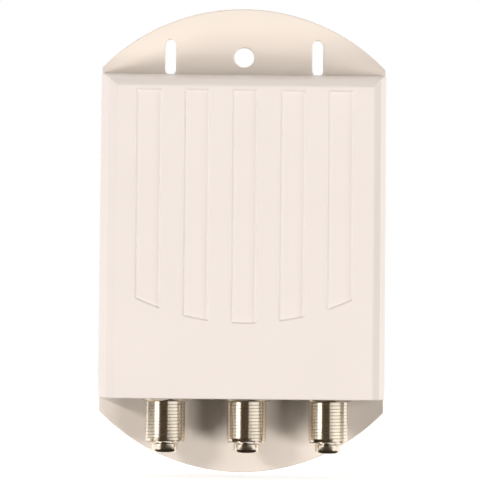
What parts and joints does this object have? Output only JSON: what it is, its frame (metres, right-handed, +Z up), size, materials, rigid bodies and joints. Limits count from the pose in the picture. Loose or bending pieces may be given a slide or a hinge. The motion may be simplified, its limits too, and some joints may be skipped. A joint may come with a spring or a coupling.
{
  "type": "satellite antenna switch",
  "caption": "Outdoor switch box for satellite aerial cables: rounded wall plate with strap slots, threaded jacks pointing down and a fluted weather hood that slides down over them.",
  "frame": {"origin": "centre of the wall-screw hole on the rear face of the plate", "axes": "+Z up along the plate, -Y out of the wall along the screw hole, +X to the right seen from the front"},
  "size_m": [0.0708, 0.028, 0.115],
  "materials": {
    "plate_plastic": "satin",
    "hood_plastic": "satin",
    "cast_zinc": "matte",
    "tinplate": "satin",
    "plated_barrel": "polished",
    "jack_plastic": "satin",
    "plated_contact": "satin",
    "board_laminate": "satin",
    "chip_resin": "matte",
    "enamelled_winding": "satin",
    "capacitor_ceramic": "satin",
    "resistor_body": "satin",
    "can_aluminium": "satin",
    "screw_steel": "satin"
  },
  "bodies": {
    "mounted_unit": {"back_plate": "plate_plastic", "module_case": "cast_zinc", "module_lid": "tinplate", "circuit_board": "board_laminate", "control_chip": "chip_resin", "voltage_regulator": "chip_resin", "choke_coils": "enamelled_winding", "pin_diodes": "chip_resin", "ceramic_capacitors": "capacitor_ceramic", "resistors": "resistor_body", "electrolytic_capacitor": "can_aluminium", "module_screws": "screw_steel", "board_screws": "screw_steel", "left_jack_barrel": "plated_barrel", "left_jack_insulator": "jack_plastic", "left_jack_contact": "plated_contact", "middle_jack_barrel": "plated_barrel", "middle_jack_insulator": "jack_plastic", "middle_jack_contact": "plated_contact", "right_jack_barrel": "plated_barrel", "right_jack_insulator": "jack_plastic", "right_jack_contact": "plated_contact"},
    "hood": {"sliding_hood": "hood_plastic"}
  },
  "joints": [
    {"name": "hood_slide", "type": "slide", "parent": "mounted_unit", "child": "hood", "axis": [0, 0, -1], "range_m": [0, 0.018]}
  ]
}
